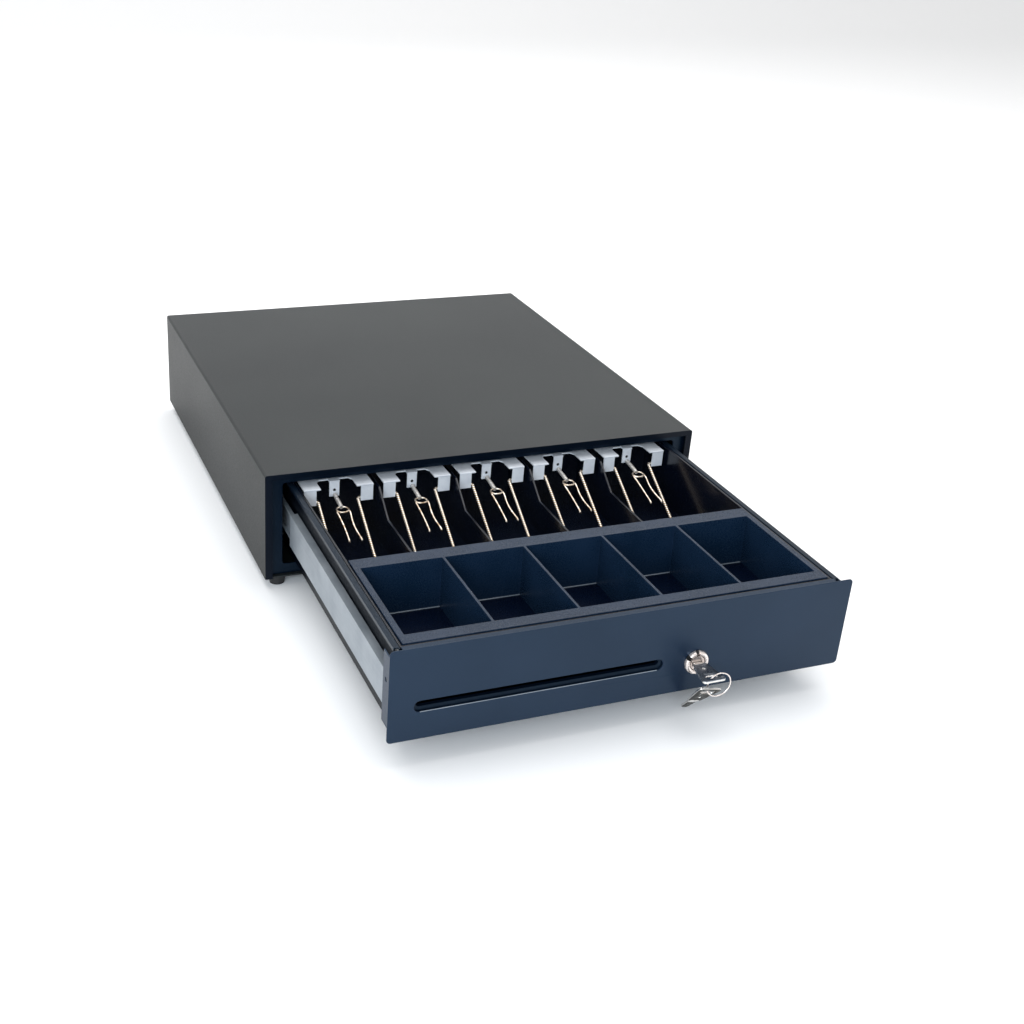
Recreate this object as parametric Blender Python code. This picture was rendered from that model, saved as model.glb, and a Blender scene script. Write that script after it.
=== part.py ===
"""A steel till drawer in a desktop cabinet, drawn with the drawer run out and a key in its lock.

Metres, +Z up, the drawer opens towards -Y. The origin is the middle of the cabinet's underside.
Distances "back" are measured from the cabinet's front edge, and distances "deep" from the face
of the drawer's front panel, so the drawer keeps its own sizes wherever it stands.
"""

import math

import bmesh
import bpy
from mathutils import Matrix, Vector

MM = 0.001

# Driving sizes of the cabinet.
CABINET_W = 410 * MM
CABINET_D = 425 * MM
CABINET_H = 99 * MM
SHEET = 1.2 * MM
BEND_R = 2 * MM
FRONT_RIM_SIDE = 6.5 * MM
FRONT_RIM_TOP = 5 * MM
FRAME_BACK = 5 * MM
MOUTH_HALF_W = 188.5 * MM
MOUTH_BOTTOM = 11 * MM
MOUTH_TOP = 88.5 * MM
MOUTH_R = 3 * MM
REAR_PANEL_BACK = 421 * MM
LINER_HALF_W = 203.4 * MM
FOOT_R = 7.5 * MM
FOOT_H = 8.5 * MM
FOOT_X = 192 * MM
FOOT_FRONT_BACK = 10.5 * MM
FOOT_REAR_BACK = 408 * MM

# Driving sizes of the drawer.
DRAWER_OUT = 275 * MM
PANEL_HALF_W = 189 * MM
PANEL_BOTTOM = 14.5 * MM
PANEL_TOP = 90.5 * MM
PANEL_R = 3 * MM
PANEL_FOLD_X = 187.5 * MM
SIDE_SCREW = (10.5 * MM, 62 * MM)
TOP_FOLD_Z = 87.4 * MM
BOX_HALF_W = 179.6 * MM
BOX_BOTTOM = 16 * MM
BOX_FRONT = 8 * MM
BOX_REAR = 319.2 * MM
LIP_TOP = 87 * MM
LIP_HALF_W = 183 * MM
RAIL_LENGTH = 244 * MM
RAIL_FRONT = 18 * MM

# The till insert: five note bays behind five coin cells.
BAYS = 5
NOTE_PITCH = 71 * MM
COIN_PITCH = 68.6 * MM
TILL_HALF_W = 177.9 * MM
TILL_WALL = 2 * MM
TILL_FLOOR = 31 * MM
TILL_TOP = 86.5 * MM
NOTE_FRONT = 138 * MM
NOTE_REAR = 308 * MM
COIN_RIM_TOP = 87.5 * MM
COIN_FLOOR = 45.3 * MM

# The note clips, by height above the cabinet's underside and depth behind the panel's face.
CLIP_TOP = 84.2 * MM
CLIP_SHEET = 1.2 * MM
CLIP_HALF_W = 31 * MM
BAIL_PIVOT = (272 * MM, 71.2 * MM)
BAIL_HALF_W = 17.6 * MM
BAIL_SLOPE = math.radians(32)
BAIL_LENGTH = 66 * MM
BAIL_WIRE_R = 1.8 * MM
FORK_PIVOT = (280.4 * MM, 71.8 * MM)
FORK_HALF_W = 6.5 * MM
FORK_WIRE_R = 0.9 * MM

# The lock, and the keys that hang on it.
LOCK_X = 56.6 * MM
LOCK_Z = 39.6 * MM
LOCK_BARREL_R = 9 * MM
LOCK_BEZEL_R = 10 * MM
PLUG_R = 6 * MM
KEY_SHEET = 1.8 * MM
BOW_SLOT = 5.6 * MM
RING_R = 10 * MM
RING_WIRE_R = 0.6 * MM
RING_X = 64 * MM
RING_Z = 32 * MM
RING_OUT = 23.4 * MM
SPARE_PLACE = math.radians(204)
SPARE_SLOPE = math.radians(51)
SPARE_TURN = math.radians(12)
SPARE_ROLL = math.radians(17)

# The cash slot in the drawer's front panel.
SLOT_LEFT = -169.7 * MM
SLOT_RIGHT = 28.3 * MM
SLOT_Z = 42 * MM
SLOT_H = 9.5 * MM

GAP = 0.3 * MM
CABINET_FRONT = -CABINET_D / 2
PANEL_Y = CABINET_FRONT - DRAWER_OUT


def back(distance):
    """The Y of something this far behind the cabinet's front edge."""
    return CABINET_FRONT + distance


def deep(distance):
    """The Y of something this far behind the face of the drawer's front panel."""
    return PANEL_Y + distance


def clear_scene():
    for old in list(bpy.data.objects):
        bpy.data.objects.remove(old, do_unlink=True)


def finish(name, colour, roughness, metallic):
    made = bpy.data.materials.new(name)
    made.use_nodes = True
    shader = made.node_tree.nodes["Principled BSDF"]
    shader.inputs["Base Color"].default_value = (*colour, 1)
    shader.inputs["Roughness"].default_value = roughness
    shader.inputs["Metallic"].default_value = metallic
    return made


# ---- solids, each returned as a bmesh ---------------------------------------------------------


def box(corner, opposite):
    """A block between two opposite corners, given in either order."""
    made = bmesh.new()
    size = [abs(b - a) for a, b in zip(corner, opposite)]
    middle = (Vector(corner) + Vector(opposite)) / 2
    bmesh.ops.create_cube(made, size=1, matrix=Matrix.Translation(middle) @ Matrix.Diagonal((*size, 1)))
    return made


def prism(outline, axis, low, high):
    """A flat outline pushed out along an axis. The outline lies in the other two axes, in X, Y, Z order."""

    def place(point, along):
        a, b = point
        return {"X": (along, a, b), "Y": (a, along, b), "Z": (a, b, along)}[axis]

    made = bmesh.new()
    ends = [[made.verts.new(place(point, along)) for point in outline] for along in (low, high)]
    made.faces.new(ends[0])
    made.faces.new(reversed(ends[1]))
    for i in range(len(outline)):
        j = (i + 1) % len(outline)
        made.faces.new((ends[0][j], ends[0][i], ends[1][i], ends[1][j]))
    bmesh.ops.recalc_face_normals(made, faces=made.faces)
    return made


def rounded(low, high, radius, steps=3):
    """The outline of a rectangle with round corners."""
    points = []
    for turn, (x, y) in enumerate(((high[0], high[1]), (low[0], high[1]), (low[0], low[1]), (high[0], low[1]))):
        cx = x - math.copysign(radius, x - (low[0] + high[0]) / 2)
        cy = y - math.copysign(radius, y - (low[1] + high[1]) / 2)
        for step in range(steps + 1):
            angle = math.radians(90) * (turn + step / steps)
            points.append((cx + radius * math.cos(angle), cy + radius * math.sin(angle)))
    return points


def disc(centre, radius, sides=24, turned=0.0):
    """The outline of a circle, or of a regular polygon."""
    cx, cy = centre
    angles = [turned + 2 * math.pi * i / sides for i in range(sides)]
    return [(cx + radius * math.cos(a), cy + radius * math.sin(a)) for a in angles]


def tube(points, radius, sides=8):
    """A round wire along these points, with flat ends."""
    points = [Vector(p) for p in points]
    made = bmesh.new()
    heading = (points[1] - points[0]).normalized()
    across = heading.orthogonal().normalized()
    rings = []
    for i, point in enumerate(points):
        before = (point - points[max(i - 1, 0)]).normalized()
        after = (points[min(i + 1, len(points) - 1)] - point).normalized()
        new_heading = (before + after).normalized()
        across = heading.rotation_difference(new_heading) @ across
        heading = new_heading
        # The ring is stretched at a bend, so that the wire keeps its thickness through it.
        bend = max(new_heading.dot(after if after.length else before), 0.5)
        bend_axis = before.cross(after)
        rings.append([])
        for k in range(sides):
            spoke = Matrix.Rotation(2 * math.pi * k / sides, 3, heading) @ across * radius
            if bend_axis.length > 1e-6:
                flat = bend_axis.normalized().cross(heading)
                spoke += flat * spoke.dot(flat) * (1 / bend - 1)
            rings[-1].append(made.verts.new(point + spoke))
    made.faces.new(reversed(rings[0]))
    made.faces.new(rings[-1])
    for ring, nxt in zip(rings, rings[1:]):
        for k in range(sides):
            m = (k + 1) % sides
            made.faces.new((ring[k], ring[m], nxt[m], nxt[k]))
    bmesh.ops.recalc_face_normals(made, faces=made.faces)
    return made


def ring_of_wire(centre, radius, wire, steps=28, sides=8):
    """A closed ring of wire that lies square to Y."""
    made = bmesh.new()
    cx, cy, cz = centre
    rings = []
    for i in range(steps):
        around = 2 * math.pi * i / steps
        rings.append([])
        for k in range(sides):
            angle = 2 * math.pi * k / sides
            reach = radius + wire * math.cos(angle)
            spot = (cx + reach * math.cos(around), cy + wire * math.sin(angle), cz + reach * math.sin(around))
            rings[-1].append(made.verts.new(spot))
    for ring, nxt in zip(rings, rings[1:] + rings[:1]):
        for k in range(sides):
            m = (k + 1) % sides
            made.faces.new((ring[k], ring[m], nxt[m], nxt[k]))
    bmesh.ops.recalc_face_normals(made, faces=made.faces)
    return made


def tapered_box(low, high, taper_x, taper_y):
    """A box whose foot is smaller than its mouth by the tapers, on every side."""
    made = box(low, high)
    middle = (Vector(low) + Vector(high)) / 2
    for vert in made.verts:
        if vert.co.z < middle.z:
            vert.co.x -= math.copysign(taper_x, vert.co.x - middle.x)
            vert.co.y -= math.copysign(taper_y, vert.co.y - middle.y)
    return made


# ---- objects ----------------------------------------------------------------------------------


def to_object(name, solid):
    mesh = bpy.data.meshes.new(name)
    solid.to_mesh(mesh)
    solid.free()
    made = bpy.data.objects.new(name, mesh)
    bpy.context.collection.objects.link(made)
    return made


def combined(first, joined=(), cut=()):
    """One solid: the first, with others joined to it and then others cut from it."""
    base = to_object("working_solid", first)
    helpers = []
    for operation, solids in (("UNION", joined), ("DIFFERENCE", cut)):
        for solid in solids:
            helper = to_object("working_helper", solid)
            helpers.append(helper)
            modifier = base.modifiers.new(operation, "BOOLEAN")
            modifier.operation = operation
            modifier.solver = "EXACT"
            modifier.object = helper
    bpy.context.view_layer.update()
    graph = bpy.context.evaluated_depsgraph_get()
    made = bmesh.new()
    made.from_mesh(base.evaluated_get(graph).to_mesh())
    bmesh.ops.dissolve_limit(made, angle_limit=math.radians(0.1), verts=made.verts, edges=made.edges)
    for spare in [base, *helpers]:
        mesh = spare.data
        bpy.data.objects.remove(spare, do_unlink=True)
        bpy.data.meshes.remove(mesh)
    return made


def piece(name, solid, material, origin=(0, 0, 0), smooth=None, moved_x=0.0):
    """A named object, with its origin where its joint turns or slides, then moved sideways to its place."""
    bmesh.ops.translate(solid, verts=solid.verts, vec=-Vector(origin))
    made = to_object(name, solid)
    made.location = Vector(origin) + Vector((moved_x, 0, 0))
    made.data.materials.append(material)
    if smooth is not None:
        made.data.shade_smooth()
        made.data.set_sharp_from_angle(angle=math.radians(smooth))
    return made


def mirrored(solid):
    """The same solid on the other side of the drawer."""
    bmesh.ops.scale(solid, vec=(-1, 1, 1), verts=solid.verts)
    bmesh.ops.reverse_faces(solid, faces=solid.faces)
    return solid


# ---- the cabinet ------------------------------------------------------------------------------


def cover_outline(inset):
    """Half-round-cornered U that the cover's top and sides follow, this far inside its outer face."""
    half, top, radius = CABINET_W / 2 - inset, CABINET_H - inset, max(BEND_R - inset, 0.5 * MM)
    points = [(half, 0)]
    for side, start in ((1, 0), (-1, 90)):
        for step in range(5):
            angle = math.radians(start + 90 * step / 4)
            points.append((side * (half - radius) + radius * math.cos(angle), top - radius + radius * math.sin(angle)))
    return points + [(-half, 0)]


def housing_cover(paint):
    shell = prism(cover_outline(0) + cover_outline(SHEET)[::-1], "Y", back(0), back(CABINET_D))
    rim_half, rim_top = CABINET_W / 2 - FRONT_RIM_SIDE, CABINET_H - FRONT_RIM_TOP
    rim_inner = [(-rim_half, 0), (-rim_half, rim_top), (rim_half, rim_top), (rim_half, 0)]
    rim = prism(cover_outline(0) + rim_inner, "Y", back(0), back(SHEET))
    return piece("housing_cover", combined(shell, [rim]), paint, smooth=35)


def base_pan(paint):
    rear = back(REAR_PANEL_BACK - 2 * GAP)
    plate = box((-LINER_HALF_W, back(1.6 * MM), 0), (LINER_HALF_W, rear, SHEET))
    flange_front = back(FRAME_BACK + 3 * MM)
    flanges = [
        box((side * LINER_HALF_W, flange_front, 0), (side * (LINER_HALF_W - SHEET), rear, 14 * MM)) for side in (-1, 1)
    ]
    return piece("base_pan", combined(plate, flanges), paint)


def front_frame(paint):
    low, high = 1.6 * MM, CABINET_H - SHEET - 2 * GAP
    plate_back = FRAME_BACK + SHEET
    plate = box((-LINER_HALF_W, back(FRAME_BACK), low), (LINER_HALF_W, back(plate_back), high))
    top_flange = box((-LINER_HALF_W, back(FRAME_BACK), high - SHEET), (LINER_HALF_W, back(20 * MM), high))
    mouth = prism(
        rounded((-MOUTH_HALF_W, MOUTH_BOTTOM), (MOUTH_HALF_W, MOUTH_TOP), MOUTH_R),
        "Y",
        back(0),
        back(plate_back + 2 * MM),
    )
    return piece("front_frame", combined(plate, [top_flange], [mouth]), paint)


def rear_panel(paint):
    plate = box(
        (-LINER_HALF_W, back(REAR_PANEL_BACK), 1.6 * MM),
        (LINER_HALF_W, back(REAR_PANEL_BACK + SHEET), CABINET_H - SHEET - 2 * GAP),
    )
    x, z, half_w, half_h = SOCKET_X, SOCKET_Z, SOCKET_HALF_W + GAP, SOCKET_HALF_H + GAP
    hole = box((x - half_w, back(415 * MM), z - half_h), (x + half_w, back(CABINET_D), z + half_h))
    return piece("rear_panel", combined(plate, [], [hole]), paint)


def feet(rubber):
    names = {(-1, "front"): FOOT_FRONT_BACK, (1, "front"): FOOT_FRONT_BACK}
    names.update({(-1, "rear"): FOOT_REAR_BACK, (1, "rear"): FOOT_REAR_BACK})
    for (side, end), distance in names.items():
        spot = (side * FOOT_X, back(distance))
        foot = prism(disc(spot, FOOT_R, 20), "Z", -FOOT_H, -GAP)
        for vert in foot.verts:
            if vert.co.z < -FOOT_H / 2:
                vert.co.x += (spot[0] - vert.co.x) * 0.12
                vert.co.y += (spot[1] - vert.co.y) * 0.12
        hand = "left" if side < 0 else "right"
        piece(f"foot_{end}_{hand}", foot, rubber, smooth=50)


def rear_screws(steel):
    head_r, head_t = 3.4 * MM, 2 * MM
    for number, (x, z) in enumerate(((-188, 84), (188, 84), (-188, 16), (188, 16)), 1):
        spot = (x * MM, z * MM)
        face = REAR_PANEL_BACK + SHEET + GAP
        head = prism(disc(spot, head_r, 16), "Y", back(face), back(face + head_t))
        piece(f"rear_screw_{number}", head, steel, smooth=50)


# ---- runners ----------------------------------------------------------------------------------

RAIL_OUTER_X = 187 * MM
RAIL_INNER_X = 180.3 * MM
RAIL_LOW = 38 * MM
RAIL_HIGH = 67.5 * MM
RAIL_T = 1.3 * MM
MIDDLE_WEB_X = 181.6 * MM
MIDDLE_OPEN_X = 185.2 * MM
MIDDLE_LOW = 41 * MM
MIDDLE_HIGH = 64.5 * MM
CABINET_RAIL_X = 192.2 * MM
CABINET_RAIL_OPEN_X = 184 * MM
CABINET_RAIL_LOW = 33 * MM
CABINET_RAIL_HIGH = 71 * MM


def channel_outline(x_web, x_open, low, high, t):
    """A plain C channel: its web at x_web, its flanges reaching to x_open."""
    inward = math.copysign(t, x_open - x_web)
    return [
        (x_web, low),
        (x_open, low),
        (x_open, low + t),
        (x_web + inward, low + t),
        (x_web + inward, high - t),
        (x_open, high - t),
        (x_open, high),
        (x_web, high),
    ]


def runners(zinc):
    front, closed_front = deep(RAIL_FRONT), back(RAIL_FRONT)
    half_way = (front + closed_front) / 2
    for hand, flip in (("left", False), ("right", True)):
        outline = channel_outline(-RAIL_OUTER_X, -RAIL_INNER_X, RAIL_LOW, RAIL_HIGH, RAIL_T)
        inner = prism(outline, "Y", front, front + RAIL_LENGTH)
        outline = channel_outline(-MIDDLE_WEB_X, -MIDDLE_OPEN_X, MIDDLE_LOW, MIDDLE_HIGH, RAIL_T)
        middle = prism(outline, "Y", half_way, half_way + RAIL_LENGTH)
        outline = channel_outline(-CABINET_RAIL_X, -CABINET_RAIL_OPEN_X, CABINET_RAIL_LOW, CABINET_RAIL_HIGH, RAIL_T)
        channel = prism(outline, "Y", closed_front, closed_front + RAIL_LENGTH)
        spacers = [
            box(
                (-LINER_HALF_W + GAP, closed_front + along, 42 * MM),
                (-CABINET_RAIL_X + RAIL_T / 2, closed_front + along + 14 * MM, 62 * MM),
            )
            for along in (12 * MM, RAIL_LENGTH - 26 * MM)
        ]
        fixed = combined(channel, spacers)
        for name, solid in (("drawer_rail", inner), ("middle_rail", middle), ("cabinet_rail", fixed)):
            solid = mirrored(solid) if flip else solid
            piece(f"{name}_{hand}", solid, zinc)


# ---- the drawer -------------------------------------------------------------------------------


def drawer_box(paint):
    half, front, rear, floor = BOX_HALF_W, deep(BOX_FRONT), deep(BOX_REAR), BOX_BOTTOM
    tray = box((-half, front, floor), (half, rear, floor + SHEET))
    walls = [
        box((-half, front, floor), (half, front + SHEET, 28 * MM)),
        box((-half, rear - SHEET, floor), (half, rear, 80 * MM)),
    ]
    for side in (-1, 1):
        lip_front, lip_rear = deep(10 * MM), deep(BOX_REAR - SHEET)
        ledge_z = TILL_FLOOR - SHEET - 2 * GAP
        walls += [
            box((side * half, front, floor), (side * (half - SHEET), rear, LIP_TOP)),
            box((side * (half - SHEET), lip_front, LIP_TOP - SHEET), (side * LIP_HALF_W, lip_rear, LIP_TOP)),
            box(
                (side * (LIP_HALF_W - SHEET), lip_front, LIP_TOP - 3.5 * MM), (side * LIP_HALF_W, lip_rear, LIP_TOP)
            ),
            box(
                (side * (half - SHEET / 2), deep(NOTE_FRONT), ledge_z),
                (side * (half - 11 * MM), deep(BOX_REAR - SHEET / 2), ledge_z + SHEET),
            ),
        ]
    return piece("drawer_box", combined(tray, walls), paint)


def drawer_front(paint):
    plate = prism(
        rounded((-PANEL_HALF_W, PANEL_BOTTOM), (PANEL_HALF_W, PANEL_TOP), PANEL_R), "Y", deep(0), deep(SHEET)
    )
    flange_half, top_half, fold = 181 * MM, 177.8 * MM, SHEET / 2
    returns = [
        box((-top_half, deep(fold), TOP_FOLD_Z - SHEET), (top_half, deep(9.8 * MM), TOP_FOLD_Z)),
        box((-flange_half, deep(fold), PANEL_BOTTOM), (flange_half, deep(9 * MM), PANEL_BOTTOM + SHEET)),
    ]
    for side in (-1, 1):
        low = (side * PANEL_FOLD_X, deep(fold), 24.4 * MM)
        high = (side * (PANEL_FOLD_X - SHEET), deep(17 * MM), 83.3 * MM)
        returns.append(box(low, high))
    slot = prism(
        rounded((SLOT_LEFT, SLOT_Z - SLOT_H / 2), (SLOT_RIGHT, SLOT_Z + SLOT_H / 2), SLOT_H / 2 - 0.05 * MM),
        "Y",
        deep(-2 * MM),
        deep(5 * MM),
    )
    lock_hole = prism(disc((LOCK_X, LOCK_Z), LOCK_BARREL_R + GAP), "Y", deep(-2 * MM), deep(5 * MM))
    spot = (deep(SIDE_SCREW[0]), SIDE_SCREW[1])
    screw_holes = prism(disc(spot, 1.8 * MM, 12), "X", -CABINET_W / 2, CABINET_W / 2)
    return piece("drawer_front", combined(plate, returns, [slot, lock_hole, screw_holes]), paint, smooth=35)


def side_screws(paint):
    """The screws that hold the front panel's side folds to the drawer, one on each side."""
    for hand, side in (("left", -1), ("right", 1)):
        outline = disc((deep(SIDE_SCREW[0]), SIDE_SCREW[1]), 1.4 * MM, 12)
        shank = prism(outline, "X", side * 180 * MM, side * (PANEL_FOLD_X - GAP))
        piece(f"side_screw_{hand}", shank, paint, smooth=50)


def note_divider():
    """The outline, by depth and height, of a wall between two note bays: tall behind, low in front."""
    corners = ((307, 30), (307, 81.5), (267, 81.5), (246, 65.5), (241, 62), (137, 61), (137, 30))
    return [(deep(d * MM), z * MM) for d, z in corners]


def till_tray(plastic):
    half, wall, floor = TILL_HALF_W, TILL_WALL, TILL_FLOOR
    front, rear = deep(NOTE_FRONT - wall), deep(NOTE_REAR + wall)
    bottom = box((-half, front, floor), (half, rear, floor + wall))
    joined = [
        box((-half, rear - wall, floor), (half, rear, 82.4 * MM)),
        box((-half, front, floor), (half, front + wall, 84.5 * MM)),
        box((-half, deep(10.5 * MM), 50 * MM), (half, deep(12.7 * MM), TILL_TOP)),
    ]
    for side in (-1, 1):
        joined += [
            box((side * half, front, floor), (side * (half - wall), rear, TILL_TOP)),
            box((side * half, deep(10.5 * MM), 44 * MM), (side * (half - wall), front + wall, TILL_TOP)),
        ]
    for i in range(1, BAYS):
        x = (i - BAYS / 2) * NOTE_PITCH
        joined.append(prism(note_divider(), "X", x - wall / 2, x + wall / 2))
    return piece("till_tray", combined(bottom, joined), plastic)


def coin_tray(plastic):
    rim_half, wall = 175.4 * MM, 2 * MM
    rim = box((-rim_half, deep(13 * MM), COIN_RIM_TOP - 1.8 * MM), (rim_half, deep(NOTE_FRONT - 0.4 * MM), COIN_RIM_TOP))
    cells_half = COIN_PITCH * BAYS / 2 + wall / 2
    mouth_front, mouth_rear = 24 * MM, 123.5 * MM
    body = box(
        (-cells_half, deep(mouth_front - wall), COIN_FLOOR - wall),
        (cells_half, deep(mouth_rear + wall), COIN_RIM_TOP - 1 * MM),
    )
    pockets = []
    for i in range(BAYS):
        x = (i - (BAYS - 1) / 2) * COIN_PITCH
        half = COIN_PITCH / 2 - wall / 2
        low = (x - half, deep(mouth_front), COIN_FLOOR)
        high = (x + half, deep(mouth_rear), COIN_RIM_TOP + 2 * MM)
        pockets.append(tapered_box(low, high, 1.2 * MM, 3.5 * MM))
    return piece("coin_tray", combined(rim, [body], pockets), plastic)


# ---- note clips -------------------------------------------------------------------------------


def bay_x(number):
    return (number - (BAYS + 1) / 2) * NOTE_PITCH


def clip_outline():
    """The clip's top plate, from above: a strip behind with a prong on each side."""
    right = [(31, 269), (31, 312), (-31, 312), (-31, 269), (-16, 269), (-16, 283), (-13, 287)]
    left = [(-4.7, 287), (-4.7, 282.2), (4.7, 282.2), (4.7, 287), (13, 287), (16, 283), (16, 269)]
    return [(a * MM, deep(d * MM)) for a, d in right + left]


def note_clip(number, zinc):
    t = CLIP_SHEET
    plate = prism(clip_outline(), "Z", CLIP_TOP - t, CLIP_TOP)
    tab_top, tab_front, edge = CLIP_TOP - t / 2, deep(269.2 * MM), 0.2 * MM
    tab_half, tab_y = 4.5 * MM, deep(282.4 * MM)
    joined = [box((-tab_half, tab_y, 69.5 * MM), (tab_half, tab_y + t, tab_top))]
    for side in (-1, 1):
        near, far = side * 19.8 * MM, side * (CLIP_HALF_W - edge)
        joined.append(box((near, tab_front, 69 * MM), (far, tab_front + t, tab_top)))
    return piece(f"note_clip_{number}", combined(plate, joined), zinc, moved_x=bay_x(number))


def bail(number, zinc):
    """The U of wire that lies on the notes and lifts on the clip's outer tabs."""
    depth, z = BAIL_PIVOT
    forward = Vector((0, -math.cos(BAIL_SLOPE), -math.sin(BAIL_SLOPE)))
    corner_r, steps = 5 * MM, 3
    path = []
    for side in (-1, 1):
        top = Vector((side * BAIL_HALF_W, deep(depth), z))
        leg = [top, top + forward * (BAIL_LENGTH - corner_r)]
        centre = leg[1] - Vector((side * corner_r, 0, 0))
        for step in range(1, steps + 1):
            angle = math.radians(90) * step / steps
            spread = Vector((side * corner_r * math.cos(angle), 0, 0))
            leg.append(centre + spread + forward * corner_r * math.sin(angle))
        path += leg if side < 0 else leg[::-1]
    return piece(f"bail_{number}", tube(path, BAIL_WIRE_R), zinc, (0, deep(depth), z), 50, bay_x(number))


def fork(number, zinc):
    """The spring fork that leans on the notes from the clip's middle tab."""
    depth, z = FORK_PIVOT
    half = FORK_HALF_W
    side_line = ((264, 69.2), (262, 68.6), (247, 64.2), (227, 60.2), (220.6, 58.2), (219.6, 56), (219.6, 36))
    right = [Vector((half, deep(d * MM), height * MM)) for d, height in side_line]
    left = [Vector((-p.x, p.y, p.z)) for p in right]
    crown = [Vector((a * half, deep(265.6 * MM), 69.7 * MM)) for a in (-0.6, 0, 0.6)]
    wire = tube(left[::-1] + crown + right, FORK_WIRE_R, 6)
    sleeve = tube([(0, deep(depth + 1 * MM), z), (0, deep(265.4 * MM), 70 * MM)], 1.9 * MM)
    return piece(f"fork_{number}", combined(sleeve, [wire]), zinc, (0, deep(depth), z), 50, bay_x(number))


# ---- lock and keys ----------------------------------------------------------------------------


def round_bar(radius, low, high, sides=24):
    return prism(disc((LOCK_X, LOCK_Z), radius, sides), "Y", deep(low), deep(high))


def lock(chrome, steel):
    bezel = round_bar(LOCK_BEZEL_R, -3.6 * MM, -GAP, 32)
    barrel = round_bar(LOCK_BARREL_R, -1 * MM, 16.5 * MM)
    bore = round_bar(PLUG_R + GAP, -6 * MM, 18 * MM)
    notches = []
    for angle in (90, 142):
        a = math.radians(angle)
        middle = Vector((LOCK_X + 9 * MM * math.cos(a), deep(-3.6 * MM), LOCK_Z + 9 * MM * math.sin(a)))
        half = Vector((1.1 * MM, 1.5 * MM, 1.1 * MM))
        notches.append(box(middle - half, middle + half))
    piece("lock_housing", combined(bezel, [barrel], [bore, *notches]), chrome, smooth=40)

    hexagon = prism(disc((LOCK_X, LOCK_Z), 13 * MM, 6), "Y", deep(SHEET + GAP), deep(5.5 * MM))
    piece("lock_nut", combined(hexagon, [], [round_bar(LOCK_BARREL_R + GAP, 0, 8 * MM)]), steel, smooth=40)

    axis = (LOCK_X, deep(0), LOCK_Z)
    plug = round_bar(PLUG_R, -2.6 * MM, 17 * MM)
    keyway = box((LOCK_X - 4.4 * MM, deep(-5 * MM), LOCK_Z - 1.3 * MM), (LOCK_X + 4.4 * MM, deep(13 * MM), LOCK_Z + 1.3 * MM))
    piece("lock_plug", combined(plug, [], [keyway]), chrome, axis, 40)

    arm = rounded((LOCK_X - 5 * MM, LOCK_Z - 17 * MM), (LOCK_X + 5 * MM, LOCK_Z + 5.5 * MM), 4.5 * MM, 4)
    cam = prism(arm, "Y", deep(17.3 * MM), deep(19.3 * MM))
    piece("lock_cam", cam, steel, axis, 40)


def key_outline():
    """A key from above, lying along its blade: X across it, and the distance from the bow's far end."""
    bow = [(0, 0), (7.6, 0), (9, 0.6), (9.6, 2.2), (9.3, 5), (6.2, 22), (6, 23.6), (5.4, 24.4), (3.8, 24.6)]
    cut_edge = [(3.8, 27.5), (3, 29.5), (3.7, 31.5), (2.8, 34), (3.4, 36), (1.4, 39.5)]
    plain_edge = [(-a, b) for a, b in bow[1:]] + [(-3.8, 36.5), (-1.4, 39.5)]
    return [(a * MM, b * MM) for a, b in bow + cut_edge + plain_edge[::-1]]


def key_solid(slot_half_x, slot_half_y):
    """A key lying flat: its bow's slot over the origin, the blade along +Y."""
    slot = rounded((-slot_half_x, BOW_SLOT - slot_half_y), (slot_half_x, BOW_SLOT + slot_half_y), slot_half_y * 0.9)
    plate = prism(key_outline(), "Z", -KEY_SHEET / 2, KEY_SHEET / 2)
    made = combined(plate, [], [prism(slot, "Z", -KEY_SHEET, KEY_SHEET)])
    bmesh.ops.translate(made, verts=made.verts, vec=(0, -BOW_SLOT, 0))
    return made


def keys(chrome):
    ring_y = deep(-RING_OUT)
    key = key_solid(5 * MM, 1.9 * MM)
    bmesh.ops.translate(key, verts=key.verts, vec=(LOCK_X, ring_y, LOCK_Z))
    piece("key", key, chrome, (LOCK_X, deep(0), LOCK_Z))

    strip_middle = (LOCK_X + 7.2 * MM, ring_y, LOCK_Z)
    ring = ring_of_wire((RING_X, ring_y, RING_Z), RING_R, RING_WIRE_R)
    piece("key_ring", ring, chrome, strip_middle, 60)

    # The spare key hangs low on the ring's left side, its blade pointing back and down.
    reach = Vector((math.cos(SPARE_PLACE), 0, math.sin(SPARE_PLACE))) * RING_R
    hole = Vector((RING_X, ring_y, RING_Z)) + reach
    spare = key_solid(5.4 * MM, 2.8 * MM)
    sloped = Matrix.Rotation(SPARE_TURN, 4, "Z") @ Matrix.Rotation(-SPARE_SLOPE, 4, "X")
    place = Matrix.Translation(hole) @ sloped @ Matrix.Rotation(SPARE_ROLL, 4, "Y")
    bmesh.ops.transform(spare, matrix=place, verts=spare.verts)
    piece("spare_key", spare, chrome, (RING_X, ring_y, RING_Z))


# ---- latch, release and sensing at the back of the cabinet ------------------------------------

PLATE_TOP = 3.2 * MM
LATCH_PIVOT = (372 * MM, 13 * MM)
PLUNGER_FOOT = 16.8 * MM
SOCKET_X = -120 * MM
SOCKET_Z = 34 * MM
SOCKET_HALF_W = 7 * MM
SOCKET_HALF_H = 6 * MM
SPRING_X = -70 * MM
SPRING_Z = 40 * MM
SWITCH_X = 70 * MM


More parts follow.
